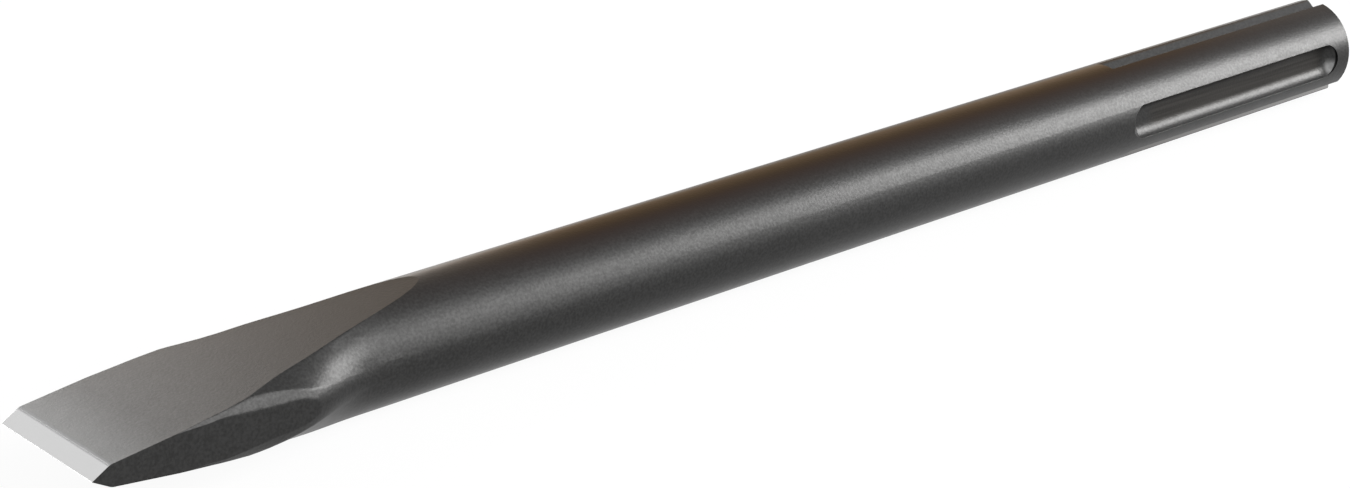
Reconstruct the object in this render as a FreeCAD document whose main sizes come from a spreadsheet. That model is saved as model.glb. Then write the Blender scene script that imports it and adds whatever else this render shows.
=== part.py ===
import FreeCAD, Part
import Sketcher
import os

# Narrow flat chisel for a demolition hammer, forged and ground from one round steel bar.
# Frame: origin at the centre of the striking face, +X along the bar to the cutting edge,
# +Y across the blade, +Z up. It lies as it rests, with the blade level. Millimetres.

# Driving dimensions. Those of the blade are measured back from the cutting edge, and those
# of the shank forward from the striking face.
DRIVING = {
    "overall_length": 280.0,
    "bar_diameter": 18.0,
    "blade_width": 25.0,
    "edge_angle": 60.0,
    "face_thickness": 3.4,
    "face_length": 63.7,
    "bevel_rounding": 2.0,
    # The forged spread: where it leaves the bar, where the trimmed side comes to its point,
    # where the face meets the shoulder, and where the blade has its full width.
    "forged_length": 52.0,
    "side_length": 37.4,
    "shoulder_length": 25.4,
    "full_width_length": 19.0,
    # Closed locking groove, one on each side.
    "lock_start": 3.65,
    "lock_length": 59.2,
    "lock_width": 6.5,
    "lock_depth": 2.1,
    "lock_floor_width": 1.5,
    "lock_ramp_angle": 38.0,
    # Open driving grooves: a wide one on top and two narrow ones below.
    "drive_length": 61.5,
    "drive_depth": 2.15,
    "drive_slot": 0.9,
    "drive_flank": 1.25,
    "wide_mouth": 3.8,
    "narrow_mouth": 3.0,
    "narrow_angle": 139.5,
    "end_chamfer": 0.2,
}

# How far a cutting outline reaches past the steel.
CLEAR = 4.0

# How close a point has to be to a place to count as lying there.
NEAR = 0.01

RADIUS = "sizes.bar_diameter / 2"
HALF_WIDTH = "sizes.blade_width / 2"

doc = FreeCAD.newDocument("chisel")
sheet = doc.addObject("Spreadsheet::Sheet", "sizes")
for row, (alias, number) in enumerate(DRIVING.items(), start=1):
    sheet.set(f"A{row}", alias)
    sheet.set(f"B{row}", str(number))
    sheet.setAlias(f"B{row}", alias)
doc.recompute()

body = doc.addObject("PartDesign::Body", "flat_chisel")
body.Label = "flat_chisel"


def value(expression):
    """The number that an expression on the sheet gives now."""
    return float(body.evalExpression(expression))


def new_sketch(name, role):
    """A sketch on one of the body's own origin planes."""
    plane = next(item for item in body.Origin.OriginFeatures if item.Role == role)
    sketch = body.newObject("Sketcher::SketchObject", name)
    sketch.AttachmentSupport = [(plane, "")]
    sketch.MapMode = "FlatFace"
    return sketch


def hold(sketch, kind, name, expression, *places):
    """Add one dimension to a sketch and tie it to the sheet."""
    index = sketch.addConstraint(Sketcher.Constraint(kind, *places, value(expression)))
    sketch.renameConstraint(index, name)
    sketch.setExpression(f"Constraints.{name}", expression)


def outline(sketch, name, corners, arcs=()):
    """Draw a closed outline through corners given as pairs of expressions. The sides that are
    named in arcs, which run to the left round their centre, bend with the radius given there."""
    points = [FreeCAD.Vector(value(x), value(y), 0) for x, y in corners]
    first = sketch.GeometryCount
    bends = dict(arcs)
    for number, (here, there) in enumerate(zip(points, points[1:] + points[:1])):
        if number not in bends:
            sketch.addGeometry(Part.LineSegment(here, there), False)
            continue
        radius = value(bends[number])
        chord = there - here
        left = FreeCAD.Vector(-chord.y, chord.x, 0).normalize()
        rise = radius - (radius ** 2 - (chord.Length / 2) ** 2) ** 0.5
        sketch.addGeometry(Part.Arc(here, (here + there) * 0.5 - left * rise, there), False)
        hold(sketch, "Radius", f"{name}_bend{number}", bends[number], first + number)
    for number, (x, y) in enumerate(corners):
        line = first + number
        before = first + (number - 1) % len(corners)
        sketch.addConstraint(Sketcher.Constraint("Coincident", before, 2, line, 1))
        hold(sketch, "DistanceX", f"{name}_x{number}", x, -1, 1, line, 1)
        hold(sketch, "DistanceY", f"{name}_y{number}", y, -1, 1, line, 1)


def cut(name, sketch):
    """A pocket that takes its outline right through the steel, both ways."""
    pocket = body.newObject("PartDesign::Pocket", name)
    pocket.Profile = sketch
    pocket.SideType = "Symmetric"
    pocket.Type = "ThroughAll"
    return pocket


def settle(feature, grows=None):
    """Recompute, and stop where a cut takes nothing off or a form adds nothing."""
    before = 0 if body.Shape.isNull() else body.Shape.Volume
    body.Tip = feature
    doc.recompute()
    change = body.Shape.Volume - before
    if "Invalid" in feature.State or "Error" in feature.State or not feature.isValid():
        raise RuntimeError(f"{feature.Name}: {feature.getStatusString()}")
    if grows is not None and (change > 0) != grows:
        raise RuntimeError(f"{feature.Name} changed the volume the wrong way")


# The plain bar, from the striking face to where the forging begins to spread.
LEAD_IN = 2.5
BAR_END = f"sizes.overall_length - sizes.forged_length - {LEAD_IN}"
bar_circle = new_sketch("bar_circle", "YZ_Plane")
bar_circle.addGeometry(Part.Circle(FreeCAD.Vector(), FreeCAD.Vector(0, 0, 1), value(RADIUS)), False)
bar_circle.addConstraint(Sketcher.Constraint("Coincident", 0, 3, -1, 1))
hold(bar_circle, "Radius", "bar_radius", RADIUS, 0)
bar = body.newObject("PartDesign::Pad", "bar")
bar.Profile = bar_circle
bar.setExpression("Length", BAR_END)
settle(bar, grows=True)


def picked(test, count):
    """The names of the edges whose ends and middle all pass a test."""
    names = []
    for number, edge in enumerate(body.Shape.Edges, start=1):
        middle = edge.valueAt((edge.FirstParameter + edge.LastParameter) / 2)
        if all(test(point) for point in [vertex.Point for vertex in edge.Vertexes] + [middle]):
            names.append(f"Edge{number}")
    if len(names) != count:
        raise RuntimeError(f"{len(names)} edges were found in place of {count}")
    return names


# The rim of the striking face is turned off at 45 degrees, so that it doesn't mushroom.
rim = picked(lambda point: abs(point.x) < NEAR, 1)
chamfer = body.newObject("PartDesign::Chamfer", "end_rim")
chamfer.Base = (bar, rim)
chamfer.setExpression("Size", "sizes.end_chamfer")
settle(chamfer, grows=False)


def forged_section(name, back, knee, crown, side):
    """One section of the forged end: four arcs that meet at knees, a distance back
    from the cutting edge. The knee is a pair of expressions, and the crown and the side
    are where the arcs cross the two middle lines."""
    sketch = new_sketch(name, "YZ_Plane")
    sketch.setExpression("AttachmentOffset.Base.z", f"sizes.overall_length - ({back})")
    knee_y, knee_z = knee
    crown_radius = f"(({knee_y})^2 + (({crown}) - ({knee_z}))^2) / (2 * (({crown}) - ({knee_z})))"
    side_radius = f"(({knee_z})^2 + (({side}) - ({knee_y}))^2) / (2 * (({side}) - ({knee_y})))"
    y, z = value(knee_y), value(knee_z)
    knees = [FreeCAD.Vector(a * y, b * z, 0) for a, b in ((1, 1), (-1, 1), (-1, -1), (1, -1))]
    crests = [FreeCAD.Vector(0, value(crown), 0), FreeCAD.Vector(-value(side), 0, 0)]
    crests += [crest * -1 for crest in crests]
    for here, crest, there in zip(knees, crests, knees[1:] + knees[:1]):
        sketch.addGeometry(Part.Arc(here, crest, there), False)
    for arc in range(4):
        sketch.addConstraint(Sketcher.Constraint("Coincident", arc, 2, (arc + 1) % 4, 1))
    sketch.addConstraint(Sketcher.Constraint("Symmetric", 0, 1, 0, 2, -2))
    sketch.addConstraint(Sketcher.Constraint("Symmetric", 2, 1, 2, 2, -2))
    sketch.addConstraint(Sketcher.Constraint("Symmetric", 3, 1, 3, 2, -1))
    sketch.addConstraint(Sketcher.Constraint("Equal", 0, 2))
    sketch.addConstraint(Sketcher.Constraint("Equal", 1, 3))
    hold(sketch, "DistanceX", "knee_out", knee_y, -1, 1, 0, 1)
    hold(sketch, "DistanceY", "knee_up", knee_z, -1, 1, 0, 1)
    hold(sketch, "Radius", "crown_radius", crown_radius, 0)
    hold(sketch, "Radius", "side_radius", side_radius, 3)
    return sketch


# The forged end. The bar is drawn flat and wide: its sides swell past the blade's width,
# with a soft knee above and below, and are trimmed to it afterwards. A row holds the
# distance back from the cutting edge, the knee, the crown and the side. The plain factors
# are shares of the bar's radius and of half the blade's width, and while the section is
# still round the knees lie on it at a chosen angle.
ROUND_KNEE = 10
ON_BAR = (f"{RADIUS} * cos({ROUND_KNEE})", f"{RADIUS} * sin({ROUND_KNEE})")
FORGED = [
    (f"sizes.forged_length + {LEAD_IN}", ON_BAR, RADIUS, RADIUS),
    ("sizes.forged_length", ON_BAR, RADIUS, RADIUS),
    ("(sizes.forged_length + sizes.side_length) / 2",
     (f"{RADIUS} * 0.45 + ({HALF_WIDTH}) * 0.46", f"{RADIUS} * 0.19"),
     f"{RADIUS} * 1.0", f"{RADIUS} * 0.6 + ({HALF_WIDTH}) * 0.38"),
    ("sizes.side_length",
     (f"{HALF_WIDTH} - 0.65", f"{RADIUS} * 0.29"), f"{RADIUS} * 0.92", HALF_WIDTH),
    ("(sizes.side_length + sizes.shoulder_length) / 2",
     (f"{HALF_WIDTH} - 0.8", f"{RADIUS} * 0.44"), f"{RADIUS} * 0.81", f"{HALF_WIDTH} + 0.37"),
    ("sizes.shoulder_length",
     (f"{HALF_WIDTH} - 0.95", f"{RADIUS} * 0.49"), f"{RADIUS} * 0.75", f"{HALF_WIDTH} + 0.6"),
    ("sizes.full_width_length",
     (f"{HALF_WIDTH} - 1.1", f"{RADIUS} * 0.51"), f"{RADIUS} * 0.72", f"{HALF_WIDTH} + 0.7"),
]
sections = [forged_section(f"section_{number}", *row) for number, row in enumerate(FORGED)]
doc.recompute()
forging = body.newObject("PartDesign::AdditiveLoft", "forging")
forging.Profile = sections[0]
forging.Sections = sections[1:]
settle(forging, grows=True)
blade = body.newObject("PartDesign::Pad", "blade")
blade.Profile = sections[-1]
blade.setExpression("Length", "sizes.full_width_length")
settle(blade, grows=True)

# The two faces and the ground cutting edge: everything outside this wedge comes off.
EDGE = "sizes.overall_length"
BEVEL = f"{EDGE} - sizes.face_thickness / 2 / tan(sizes.edge_angle / 2)"
RUN_OUT = f"{EDGE} - sizes.face_length"
HALF_THICK = "sizes.face_thickness / 2"
OUT = f"{RADIUS} + {CLEAR}"
wedge = new_sketch("wedge", "XZ_Plane")
outline(wedge, "wedge", [
    (EDGE, "0"),
    (BEVEL, HALF_THICK),
    (RUN_OUT, RADIUS),
    (RUN_OUT, OUT),
    (f"{EDGE} + {CLEAR}", OUT),
    (f"{EDGE} + {CLEAR}", f"-({OUT})"),
    (RUN_OUT, f"-({OUT})"),
    (RUN_OUT, f"-({RADIUS})"),
    (BEVEL, f"-({HALF_THICK})"),
])
settle(cut("faces", wedge), grows=False)

# The sides are trimmed to the blade's width.
trim = new_sketch("trim", "XY_Plane")
for name, sign in (("left", ""), ("right", "-")):
    reach = f"{sign}({HALF_WIDTH} + {RADIUS} + {CLEAR})"
    inner = f"{sign}({HALF_WIDTH})"
    outline(trim, name, [
        (f"{EDGE} - sizes.forged_length", inner),
        (f"{EDGE} + {CLEAR}", inner),
        (f"{EDGE} + {CLEAR}", reach),
        (f"{EDGE} - sizes.forged_length", reach),
    ])
settle(cut("sides", trim), grows=False)

# Where the grinding wheel leaves the faces for the bevels, the corner is slightly rounded.
bevel_at = value(BEVEL)
soft_bevel = body.newObject("PartDesign::Fillet", "soft_bevel")
soft_bevel.Base = (body.getObject("sides"), picked(lambda point: abs(point.x - bevel_at) < NEAR, 2))
soft_bevel.setExpression("Radius", "sizes.bevel_rounding")
settle(soft_bevel, grows=False)

# A closed locking groove on each side, cut by a round form cutter: a narrow flat floor with
# sides that curve up to the bar's skin. The cutter plunges at the striking end, runs along
# the bar and leaves it up a ramp.
LOCK_HALF = "sizes.lock_width / 2"
LOCK_FLAT = "sizes.lock_floor_width / 2"
LOCK_CENTRE = f"sizes.lock_start + {LOCK_HALF}"
LOCK_END = "sizes.lock_start + sizes.lock_length"
FLOOR = f"{RADIUS} - sizes.lock_depth"
RAMP_FOOT = f"{LOCK_END} - sizes.lock_depth / tan(sizes.lock_ramp_angle)"
LIP = f"sqrt(({RADIUS})^2 - ({LOCK_HALF})^2)"
WALL = f"(({LIP}) - ({FLOOR}))"
FLANK = f"(({LOCK_HALF}) - ({LOCK_FLAT}))"
LOCK_BEND = f"({WALL}^2 + {FLANK}^2) / (2 * {WALL})"


def lock_section(name, along):
    """The groove's section, at a distance along the bar from the striking face."""
    sketch = new_sketch(name, "YZ_Plane")
    sketch.setExpression("AttachmentOffset.Base.z", along)
    outline(sketch, name, [
        (FLOOR, LOCK_FLAT),
        (FLOOR, f"-({LOCK_FLAT})"),
        (LIP, f"-({LOCK_HALF})"),
        (OUT, f"-({LOCK_HALF})"),
        (OUT, LOCK_HALF),
        (LIP, LOCK_HALF),
    ], {1: LOCK_BEND, 5: LOCK_BEND})
    return sketch


lock_run = body.newObject("PartDesign::Pocket", "lock_run")
lock_run.Profile = lock_section("lock_run_section", LOCK_CENTRE)
lock_run.Reversed = True
lock_run.Type = "Length"
lock_run.setExpression("Length", f"{RAMP_FOOT} - ({LOCK_CENTRE})")
settle(lock_run, grows=False)

lock_ramp = body.newObject("PartDesign::Pocket", "lock_ramp")
lock_ramp.Profile = lock_section("lock_ramp_section", RAMP_FOOT)
lock_ramp.Type = "Length"
lock_ramp.UseCustomVector = True
lock_ramp.AlongSketchNormal = True
lock_ramp.setExpression("Direction.x", "cos(sizes.lock_ramp_angle)")
lock_ramp.setExpression("Direction.y", "sin(sizes.lock_ramp_angle)")
lock_ramp.setExpression("Direction.z", "0")
lock_ramp.setExpression("Length", f"(sizes.lock_depth + {CLEAR}) / tan(sizes.lock_ramp_angle)")
settle(lock_ramp, grows=False)

plunge = new_sketch("lock_plunge_section", "XY_Plane")
plunge.setExpression("AttachmentOffset.Base.x", LOCK_CENTRE)
outline(plunge, "plunge", [
    ("0", FLOOR),
    ("0", OUT),
    (f"-({LOCK_HALF})", OUT),
    (f"-({LOCK_HALF})", LIP),
    (f"-({LOCK_FLAT})", FLOOR),
], {3: LOCK_BEND})
lock_plunge = body.newObject("PartDesign::Groove", "lock_plunge")
lock_plunge.Profile = plunge
lock_plunge.ReferenceAxis = (plunge, ["V_Axis"])
lock_plunge.Angle = 360
settle(lock_plunge, grows=False)

middle_plane = next(item for item in body.Origin.OriginFeatures if item.Role == "XZ_Plane")
other_lock = body.newObject("PartDesign::Mirrored", "other_lock")
other_lock.Originals = [lock_run, lock_ramp, lock_plunge]
other_lock.MirrorPlane = (middle_plane, [""])
settle(other_lock, grows=False)


def drive_groove(name, mouth, turn):
    """An open groove: flanks that lean in to a narrow slot with a flat floor. The turn is
    its angle round the bar, from the top."""
    sketch = new_sketch(name + "_section", "YZ_Plane")
    sketch.AttachmentOffset = FreeCAD.Placement(
        FreeCAD.Vector(), FreeCAD.Rotation(FreeCAD.Vector(0, 0, 1), value(turn)))
    sketch.setExpression("AttachmentOffset.Rotation.Angle", f"({turn}) * 1 deg")
    lip = f"sqrt(({RADIUS})^2 - (({mouth}) / 2)^2)"
    shoulder = f"{lip} - sizes.drive_flank"
    slot = "sizes.drive_slot / 2"
    floor = f"{RADIUS} - sizes.drive_depth"
    half = f"({mouth}) / 2"
    corners = [
        (slot, floor), (slot, shoulder), (half, lip), (half, OUT),
        (f"-{half}", OUT), (f"-{half}", lip), (f"-{slot}", shoulder), (f"-{slot}", floor),
    ]
    outline(sketch, name, corners)
    groove = body.newObject("PartDesign::Pocket", name)
    groove.Profile = sketch
    groove.Reversed = True
    groove.Type = "Length"
    groove.setExpression("Length", "sizes.drive_length")
    settle(groove, grows=False)


drive_groove("wide_groove", "sizes.wide_mouth", "0")
drive_groove("narrow_groove_left", "sizes.narrow_mouth", "sizes.narrow_angle")
drive_groove("narrow_groove_right", "sizes.narrow_mouth", "-sizes.narrow_angle")

doc.recompute()
for item in doc.Objects:
    if "Invalid" in item.State or "Error" in item.State:
        raise RuntimeError(f"{item.Name} is not valid")
shape = body.Shape
if shape.isNull() or not shape.isValid():
    raise RuntimeError("flat_chisel has no valid shape")
os.makedirs("parts", exist_ok=True)
shape.exportStep("parts/flat_chisel.step")
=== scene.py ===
import math

import bpy
from mathutils import Euler, Matrix, Vector


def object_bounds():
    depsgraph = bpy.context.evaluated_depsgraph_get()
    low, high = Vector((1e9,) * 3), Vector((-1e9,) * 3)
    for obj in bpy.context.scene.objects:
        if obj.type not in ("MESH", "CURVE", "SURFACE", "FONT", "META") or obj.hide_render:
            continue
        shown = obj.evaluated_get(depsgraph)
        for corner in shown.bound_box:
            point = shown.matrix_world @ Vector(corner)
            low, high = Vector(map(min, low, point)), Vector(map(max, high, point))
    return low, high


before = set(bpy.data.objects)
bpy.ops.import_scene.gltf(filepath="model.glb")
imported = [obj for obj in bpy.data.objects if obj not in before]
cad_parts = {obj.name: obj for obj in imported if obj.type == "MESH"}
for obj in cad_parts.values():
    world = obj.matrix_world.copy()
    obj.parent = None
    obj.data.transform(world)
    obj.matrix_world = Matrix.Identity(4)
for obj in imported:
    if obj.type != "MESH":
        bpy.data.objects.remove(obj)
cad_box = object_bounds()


# The chisel
# One bar of forged tool steel. One end is drawn out to a flat blade with a ground edge, and the
# other has the grooves that the hammer's holder locks into. It is dark from the phosphate bath
# that follows hardening, and the edge is ground bright afterwards.
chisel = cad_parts["flat_chisel"]
LENGTH = cad_box[1].x - cad_box[0].x
BEVEL_START = LENGTH - 0.00297
DRIVE_GROOVE_END = 0.0605

WHITE = (1.0, 1.0, 1.0, 1.0)
DARK_COAT = (0.031, 0.0307, 0.0304, 1.0)
LIGHT_COAT = (0.043, 0.0427, 0.0423, 1.0)
# Painted brown reflection along the top of the bar, on its purple brown flank and at its rim.
PAINTED_BROWN_REFLECTION = (0.036, 0.027, 0.020, 1.0)
PAINTED_PURPLE_REFLECTION = (0.033, 0.0252, 0.0234, 1.0)
PAINTED_BROWN_RIM_REFLECTION = (0.84, 0.70, 0.58, 1.0)
DARK_LINE = (0.026, 0.0245, 0.023, 1.0)
LIGHT_LINE = (0.043, 0.0405, 0.038, 1.0)
# Painted warm, darker reflection on the faces, and at their rim.
PAINTED_WARM_REFLECTION = (0.0315, 0.0285, 0.0258, 1.0)
PAINTED_WARM_RIM_REFLECTION = (0.90, 0.82, 0.75, 1.0)
# Lighter steel near the edge, partly rubbed and partly a painted highlight.
RUBBED_AND_HIGHLIT_STEEL = (0.085, 0.085, 0.084, 1.0)
# Painted highlight in the narrow grooves.
PAINTED_GROOVE_HIGHLIGHT = (0.27, 0.265, 0.26, 1.0)
# Painted highlight at the round ends of the locking grooves.
PAINTED_GROOVE_END_HIGHLIGHT = (0.12, 0.12, 0.12, 1.0)
ROUNDING_STEEL = (0.14, 0.14, 0.14, 1.0)
BRIGHT_STEEL = (0.615, 0.615, 0.615, 1.0)

steel = bpy.data.materials.new("phosphated forged steel")
steel.use_nodes = True
nodes = steel.node_tree.nodes
links = steel.node_tree.links
surface = nodes["Principled BSDF"]
place = nodes.new("ShaderNodeTexCoord")


def grain(name, scale, detail, roughness, where=place.outputs["Object"]):
    """Noise of a given number of cells per metre."""
    noise = nodes.new("ShaderNodeTexNoise")
    noise.name = name
    noise.inputs["Scale"].default_value = scale
    noise.inputs["Detail"].default_value = detail
    noise.inputs["Roughness"].default_value = roughness
    links.new(where, noise.inputs["Vector"])
    return noise.outputs["Fac"]


def split(vector):
    """The three axes of a vector."""
    axes = nodes.new("ShaderNodeSeparateXYZ")
    links.new(vector, axes.inputs["Vector"])
    return axes.outputs


def calculated(operation, *values):
    """One step of arithmetic on sockets and plain numbers, the first of them a socket."""
    tree = values[0].id_data
    step = tree.nodes.new("ShaderNodeMath")
    step.operation = operation
    for socket, value in zip(step.inputs, values):
        if isinstance(value, float):
            socket.default_value = value
        else:
            tree.links.new(value, socket)
    return step.outputs["Value"]


def product(first, *others):
    """Masks multiplied with each other: where all of them hold."""
    for other in others:
        first = calculated("MULTIPLY", first, other)
    return first


def between(value, low, high, at_low, at_high, smooth=False):
    """A number that goes from at_low to at_high while the value goes from low to high."""
    ramp = nodes.new("ShaderNodeMapRange")
    ramp.interpolation_type = "SMOOTHSTEP" if smooth else "LINEAR"
    ramp.inputs["From Min"].default_value = low
    ramp.inputs["From Max"].default_value = high
    ramp.inputs["To Min"].default_value = at_low
    ramp.inputs["To Max"].default_value = at_high
    links.new(value, ramp.inputs["Value"])
    return ramp.outputs["Result"]


def rising(value, start, full, smooth=False):
    """A mask that begins at the start and is whole from the second value on."""
    return between(value, start, full, 0.0, 1.0, smooth)


def falling(value, whole, end, smooth=False):
    """A mask that is whole up to the first value and gone from the second on."""
    return between(value, whole, end, 1.0, 0.0, smooth)


def mixed(mask, first, second):
    """The first colour, and the second one where the mask holds."""
    mix = nodes.new("ShaderNodeMix")
    mix.data_type = "RGBA"
    links.new(mask, mix.inputs["Factor"])
    for socket, colour in ((mix.inputs[6], first), (mix.inputs[7], second)):
        if isinstance(colour, tuple):
            socket.default_value = colour
        else:
            links.new(colour, socket)
    return mix.outputs[2]


# Places on the bar, in metres from the striking face and from the middle line, and angles round
# it in degrees, from the near side over the top to the far side.
along, across, up = split(place.outputs["Object"])
facing = split(place.outputs["Normal"])
round_angle = calculated("DEGREES", calculated("ARCTAN2", up, across))
out_squared = calculated("ADD", product(across, across), product(up, up))
from_middle = calculated("SQRT", out_squared)

# The coat is a fine crust of crystals, over patches of forging scale.
CRYSTALS_PER_METRE = 2200.0
CRYSTAL_SHARE = 0.85
crystals = grain("phosphate crystals", CRYSTALS_PER_METRE, 1.0, 0.5)
scale_patches = grain("forging scale", 90.0, 4.0, 0.55)
mottle = product(crystals, CRYSTAL_SHARE)
mottle = calculated("ADD", mottle, product(scale_patches, 1.0 - CRYSTAL_SHARE))
coat = mixed(rising(mottle, 0.34, 0.66), DARK_COAT, LIGHT_COAT)

# It is browner along the top of the bar, a painted brown reflection of what the top faces: purple
# brown on the upper flank and straw brown at the very top. This fades towards the blade and a
# little towards the shank's end.
ROUND_SKIN = (0.0086, 0.0088)
painted_brown_reflection = product(
    rising(round_angle, 42.0, 76.0, smooth=True),
    between(round_angle, 94.0, 112.0, 1.0, 0.3, smooth=True),
    falling(round_angle, 118.0, 150.0, smooth=True),
    falling(along, 0.18, 0.245, smooth=True),
    between(along, 0.0, 0.06, 0.45, 1.0, smooth=True),
    rising(from_middle, *ROUND_SKIN),
)
painted_straw_reflection = rising(round_angle, 68.0, 86.0, smooth=True)
coat = mixed(painted_brown_reflection, coat, mixed(painted_straw_reflection, PAINTED_PURPLE_REFLECTION, PAINTED_BROWN_REFLECTION))
# The rim of the reflection takes a painted brown tint there as well.
rim = mixed(painted_brown_reflection, WHITE, PAINTED_BROWN_RIM_REFLECTION)

# The cutter left fine lines along the locking grooves, and the coat is a little browner there.
LINES_PER_METRE = 1500.0
LINE_STRETCH = 50.0
stretched = nodes.new("ShaderNodeMapping")
stretched.inputs["Scale"].default_value = (1.0 / LINE_STRETCH, 1.0, 1.0)
links.new(place.outputs["Object"], stretched.inputs["Vector"])
lines = grain("cutter lines", LINES_PER_METRE, 2.0, 0.6, stretched.outputs["Vector"])
milled = product(
    rising(along, 0.0055, 0.0075),
    falling(along, 0.055, 0.0575),
    rising(calculated("ABSOLUTE", across), 0.0056, 0.0060),
    falling(from_middle, 0.0085, 0.0088),
    rising(up, -0.0024, -0.0008, smooth=True),
)
coat = mixed(milled, coat, mixed(rising(lines, 0.35, 0.65), DARK_LINE, LIGHT_LINE))

# The two faces get a painted warm, darker reflection towards the bar, and are lighter towards the
# edge, partly rubbed there and partly a painted highlight.
flat = product(
    rising(calculated("ABSOLUTE", facing["Z"]), 0.985, 0.990),
    rising(facing["X"], 0.06, 0.10),
)
painted_warm_reflection = product(flat, between(along, LENGTH - 0.066, LENGTH - 0.004, 1.0, 0.12))
coat = mixed(painted_warm_reflection, coat, PAINTED_WARM_REFLECTION)
rim = mixed(painted_warm_reflection, rim, PAINTED_WARM_RIM_REFLECTION)
rubbed_and_highlit = product(flat, between(along, LENGTH - 0.014, LENGTH - 0.002, 0.0, 0.5, smooth=True))
coat = mixed(rubbed_and_highlit, coat, RUBBED_AND_HIGHLIT_STEEL)

# A painted highlight lies on the lower flank of each narrow groove, strongest near the shank's end.
painted_groove_highlight = product(
    falling(up, -0.0070, -0.0066),
    falling(from_middle, 0.00890, 0.00896),
    between(along, 0.0, DRIVE_GROOVE_END, 1.0, 0.6),
    falling(along, DRIVE_GROOVE_END, DRIVE_GROOVE_END + 0.0005),
    rising(facing["X"], -0.5, -0.3),
)
coat = mixed(painted_groove_highlight, coat, PAINTED_GROOVE_HIGHLIGHT)

# A painted highlight lies on the lower half of the round end of each locking groove.
painted_groove_end_highlight = product(
    falling(along, 0.0056, 0.0064),
    falling(from_middle, 0.00870, 0.00880),
    rising(facing["X"], 0.25, 0.65, smooth=True),
    falling(up, -0.0018, 0.0004, smooth=True),
)
coat = mixed(painted_groove_end_highlight, coat, PAINTED_GROOVE_END_HIGHLIGHT)

# The bevels are ground bright, and the rounding next to them is lighter. Both begin where the
# surface turns away from the face.
GROUND_SHARPNESS = 3.0
ground_end = rising(along, BEVEL_START - 0.0006, BEVEL_START - 0.0004)
lighter_rounding = product(ground_end, rising(facing["X"], 0.12, 0.40))
coat = mixed(lighter_rounding, coat, ROUNDING_STEEL)
ground = calculated("POWER", rising(facing["X"], 0.19, 0.48, smooth=True), GROUND_SHARPNESS)
ground = product(ground, ground_end)

handling = grain("handling marks", 420.0, 3.0, 0.6)
coat_roughness = between(handling, 0.3, 0.7, 0.385, 0.415)
roughness = product(coat_roughness, between(ground, 0.0, 0.5, 1.0, 0.5))
surface.inputs["Metallic"].default_value = 1.0
links.new(mixed(ground, coat, BRIGHT_STEEL), surface.inputs["Base Color"])
links.new(mixed(ground, rim, WHITE), surface.inputs["Specular Tint"])
links.new(roughness, surface.inputs["Roughness"])

# Every corner is slightly broken, and those that forging left on the blade's sides are softer.
BROKEN_CORNER = 0.00009
FORGED_CORNER = 0.0007
forged = product(
    rising(along, LENGTH - 0.052, LENGTH - 0.046),
    falling(along, LENGTH - 0.024, LENGTH - 0.018),
    falling(flat, 0.0, 1.0),
)
corners = nodes.new("ShaderNodeBevel")
corners.samples = 8
links.new(between(forged, 0.0, 1.0, BROKEN_CORNER, FORGED_CORNER), corners.inputs["Radius"])

# The crystals stand up a little, except where the steel is ground and on the painted highlight in
# the narrow grooves.
CRYSTAL_HEIGHT = 0.00006
ROUGH_RELIEF = 0.31
SMOOTH_RELIEF = 0.04
relief = nodes.new("ShaderNodeBump")
ground_or_painted_highlight = calculated("ADD", ground_end, painted_groove_highlight)
relief_strength = between(ground_or_painted_highlight, 0.0, 1.0, ROUGH_RELIEF, SMOOTH_RELIEF)
links.new(relief_strength, relief.inputs["Strength"])
relief.inputs["Distance"].default_value = CRYSTAL_HEIGHT
links.new(crystals, relief.inputs["Height"])
links.new(corners.outputs["Normal"], relief.inputs["Normal"])
links.new(relief.outputs["Normal"], surface.inputs["Normal"])

chisel.data.materials.clear()
chisel.data.materials.append(steel)


# The table
# A matt white table that the chisel lies on. It runs out of the picture, mirrors as pure white,
# and shows a soft shadow through its own glow.
TABLE_SIZE = 8.0
GLOW_TO_CAMERA = 0.93
MATT_WHITE = (0.95, 0.95, 0.95, 1.0)
MIDDLE = (LENGTH / 2.0, 0.0, 0.0)

bpy.ops.mesh.primitive_plane_add(size=TABLE_SIZE, location=(MIDDLE[0], MIDDLE[1], cad_box[0].z))
table = bpy.context.object
table.name = "table"


def any_ray(tree, *kinds):
    """1 for a ray of one of these kinds, and 0 for any other."""
    path = tree.nodes.new("ShaderNodeLightPath")
    share = path.outputs[kinds[0]]
    for kind in kinds[1:]:
        share = calculated("MAXIMUM", share, path.outputs[kind])
    return share


white_table = bpy.data.materials.new("white table")
white_table.use_nodes = True
table_tree = white_table.node_tree
matt = table_tree.nodes["Principled BSDF"]
matt.inputs["Base Color"].default_value = MATT_WHITE
matt.inputs["Roughness"].default_value = 0.9
matt.inputs["Specular IOR Level"].default_value = 0.0
glow = table_tree.nodes.new("ShaderNodeEmission")
seen_glow = product(any_ray(table_tree, "Is Camera Ray"), GLOW_TO_CAMERA)
mirrored_glow = any_ray(table_tree, "Is Glossy Ray", "Is Transmission Ray")
matt_or_glow = table_tree.nodes.new("ShaderNodeMixShader")
table_tree.links.new(calculated("MAXIMUM", seen_glow, mirrored_glow), matt_or_glow.inputs["Fac"])
table_tree.links.new(matt.outputs["BSDF"], matt_or_glow.inputs[1])
table_tree.links.new(glow.outputs["Emission"], matt_or_glow.inputs[2])
table_output = table_tree.nodes["Material Output"]
table_tree.links.new(matt_or_glow.outputs["Shader"], table_output.inputs["Surface"])
table.data.materials.append(white_table)


# The light
# A white room that is seen and mirrored as pure white but lights softly, and seven softboxes.
ROOM_LIGHT = 0.35
ROOM_SEEN = 1.0

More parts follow.
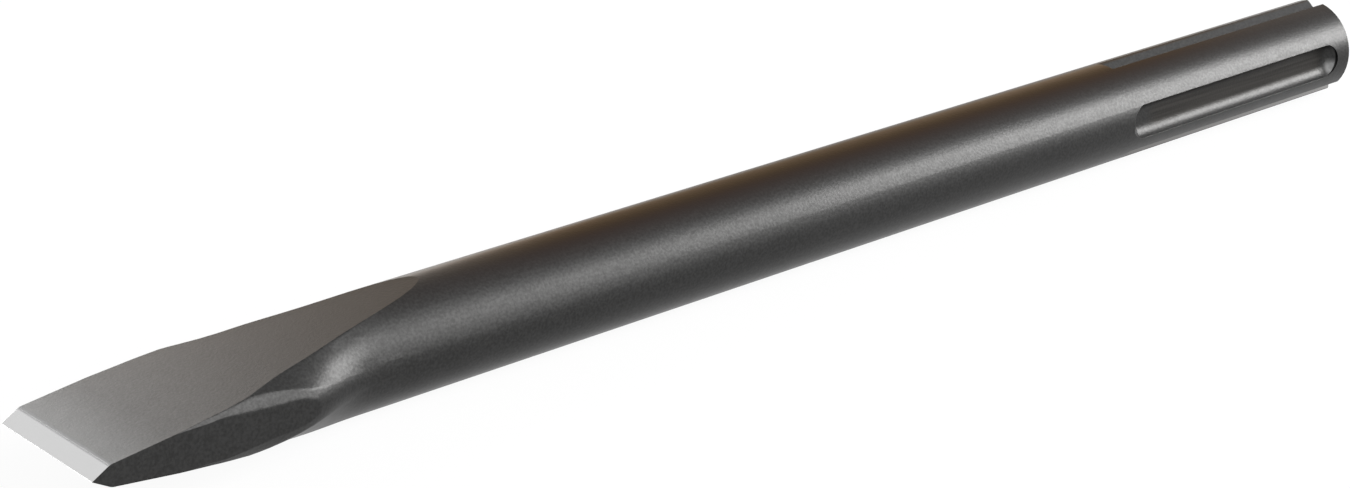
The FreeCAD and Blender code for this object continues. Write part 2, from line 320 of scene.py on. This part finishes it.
room = bpy.data.worlds.new("white room")
bpy.context.scene.world = room
room.use_nodes = True
air = room.node_tree
room_level = air.nodes.new("ShaderNodeMapRange")
room_level.inputs["To Min"].default_value = ROOM_LIGHT
room_level.inputs["To Max"].default_value = ROOM_SEEN
seen = any_ray(air, "Is Camera Ray", "Is Glossy Ray", "Is Transmission Ray")
air.links.new(seen, room_level.inputs["Value"])
air.links.new(room_level.outputs["Result"], air.nodes["Background"].inputs["Strength"])
air.nodes["Background"].inputs["Color"].default_value = WHITE


def softbox(name, at, towards, width, height, radiance):
    """A lamp that aims at a point on the bar's middle line, a distance from the striking face."""
    data = bpy.data.lights.new(name, "AREA")
    data.shape = "RECTANGLE"
    data.size = width
    data.size_y = height
    data.energy = radiance * width * height * math.pi
    lamp = bpy.data.objects.new(name, data)
    bpy.context.scene.collection.objects.link(lamp)
    lamp.location = at
    aim = Vector((towards, 0.0, 0.0)) - Vector(at)
    lamp.rotation_euler = aim.to_track_quat("-Z", "Y").to_euler()


softbox("front softbox", (-0.69, 0.515, 0.353), 0.03, 0.32, 0.42, 27.0)
softbox("front fill", (0.02, 0.515, 0.33), 0.20, 0.34, 0.80, 4.2)
softbox("back softbox", (0.150, -0.42, 0.29), 0.25, 0.13, 0.22, 6.0)
softbox("rear softbox", (0.10, -0.95, 0.16), MIDDLE[0], 1.0, 0.20, 3.6)
softbox("shank side softbox", (-1.25, -0.95, 0.26), 0.05, 0.6, 0.30, 1.0)
softbox("blade side softbox", (0.95, -0.90, 0.42), MIDDLE[0], 0.5, 0.40, 5.0)
softbox("camera side softbox", (0.95, 0.95, 0.35), MIDDLE[0], 0.5, 0.40, 5.0)


# The camera
# It stands in front of the blade's left side, a little above, and looks along the bar to the shank.
CAMERA_PLACE = (0.452742, 0.334317, 0.174747)
AZIMUTH = math.radians(139.292)
ELEVATION = math.radians(21.501)
ROLL = math.radians(-0.256)
LEVEL = math.radians(90.0)

camera_data = bpy.data.cameras.new("camera")
camera_data.sensor_fit = "HORIZONTAL"
camera_data.sensor_width = 36.0
camera_data.lens = 78.11
camera_data.clip_start = 0.01
camera = bpy.data.objects.new("camera", camera_data)
bpy.context.scene.collection.objects.link(camera)
turn = Euler((LEVEL - ELEVATION, 0.0, AZIMUTH)).to_matrix() @ Matrix.Rotation(ROLL, 3, "Z")
camera.matrix_world = Matrix.Translation(CAMERA_PLACE) @ turn.to_4x4()
bpy.context.scene.camera = camera
bpy.context.scene.view_settings.view_transform = "Standard"
